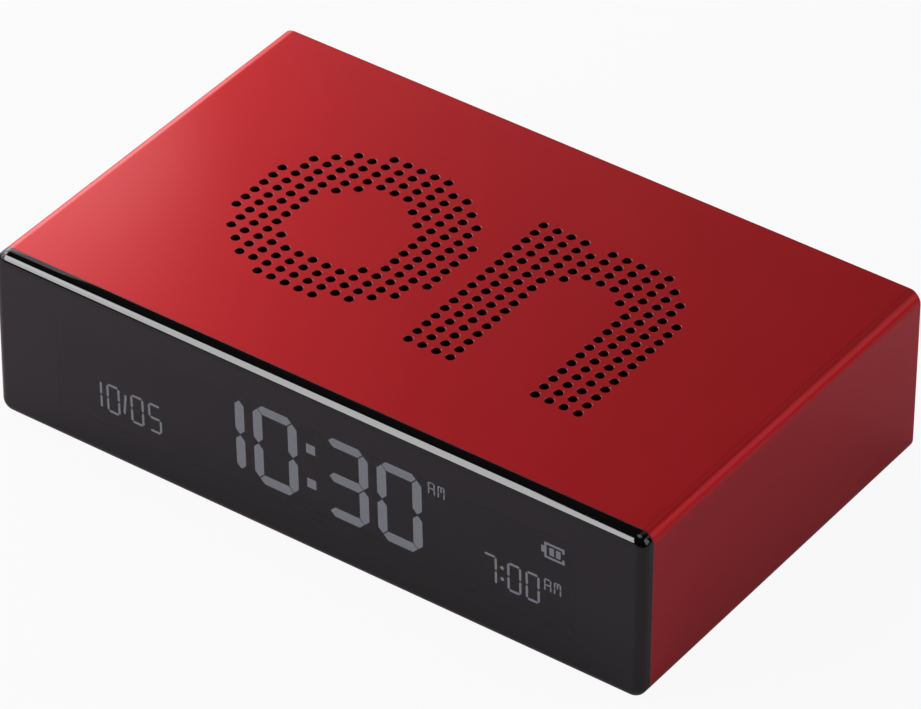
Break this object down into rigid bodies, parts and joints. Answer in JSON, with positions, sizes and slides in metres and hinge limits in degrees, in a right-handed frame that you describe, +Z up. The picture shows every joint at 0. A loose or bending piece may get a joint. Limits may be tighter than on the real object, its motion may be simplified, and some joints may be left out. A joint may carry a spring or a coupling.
{
  "type": "reversible alarm clock",
  "caption": "Flat bedside alarm clock in a perforated red metal sleeve, switched by laying it on one face or the other, with a dark display lens.",
  "frame": {"origin": "centre of the footprint, on the surface that the clock lies on with its alarm side up", "axes": "+X along the length, to the right when the display is read; -Y is where the display faces and +Y where the controls face; +Z up"},
  "size_m": [0.109, 0.069, 0.0275],
  "materials": {
    "anodised_red": "satin, bead-blasted and anodised red",
    "lens_black": "polished smoked acrylic",
    "adhesive": "matte adhesive foam",
    "foam_black": "open-cell foam",
    "moulded_black": "fine spark-eroded texture",
    "display_glass": "polished",
    "white_film": "satin film",
    "clear_acrylic": "polished",
    "lamp_white": "clear resin over phosphor",
    "striped_rubber": "matte",
    "board_green": "satin solder mask",
    "screw_steel": "blackened zinc",
    "moulded_grey": "moulded, satin",
    "pouch_foil": "matte foil",
    "speaker_steel": "plated, with a dark paper cone",
    "chip_black": "moulded resin",
    "ribbon_white": "satin film",
    "socket_ivory": "moulded",
    "spring_bronze": "bright strip",
    "tinned_can": "tinned",
    "ball_steel": "polished",
    "mesh_black": "fine woven acoustic cloth",
    "key_black": "soft satin",
    "port_steel": "satin nickel"
  },
  "bodies": {
    "case": {"case_sleeve": "anodised_red", "front_lens": "lens_black", "lens_tape": "adhesive", "display_gasket": "foam_black", "front_frame": "moulded_black", "lcd_glass": "display_glass", "diffuser_film": "white_film", "light_guide": "clear_acrylic", "reflector_film": "white_film", "backlight_lamps": "lamp_white", "contact_strip": "striped_rubber", "display_board": "board_green", "frame_screws": "screw_steel", "chassis": "moulded_grey", "battery_pad": "adhesive", "battery": "pouch_foil", "speaker_gasket": "foam_black", "speaker": "speaker_steel", "main_board": "board_green", "board_screws": "screw_steel", "board_parts": "chip_black", "ribbon_sockets": "socket_ivory", "ribbon_cable": "ribbon_white", "touch_contacts": "spring_bronze", "tilt_base": "chip_black", "tilt_can": "tinned_can", "mesh_upper": "mesh_black", "mesh_lower": "mesh_black", "rear_cover": "moulded_black", "cover_screws": "screw_steel", "switch_bodies": "chip_black", "slide_switch_body": "tinned_can", "usb_shell": "port_steel", "usb_tongue": "chip_black"},
    "up_key": {"key_up": "key_black", "switch_stem_up": "moulded_grey"},
    "down_key": {"key_down": "key_black", "switch_stem_down": "moulded_grey"},
    "mode_slider": {"mode_knob": "key_black", "slide_switch_lever": "moulded_grey"},
    "ball": {"tilt_ball": "ball_steel"}
  },
  "joints": [
    {"name": "up_key_press", "type": "slide", "parent": "case", "child": "up_key", "axis": [0, -1, 0], "range_m": [0, 0.0005], "stiffness_N_per_m": 2000},
    {"name": "down_key_press", "type": "slide", "parent": "case", "child": "down_key", "axis": [0, -1, 0], "range_m": [0, 0.0005], "stiffness_N_per_m": 2000},
    {"name": "mode_slide", "type": "slide", "parent": "case", "child": "mode_slider", "axis": [1, 0, 0], "range_m": [-0.0025, 0.0025]},
    {"name": "ball_roll", "type": "slide", "parent": "case", "child": "ball", "axis": [0, 0, 1], "range_m": [0, 0.0026]}
  ]
}
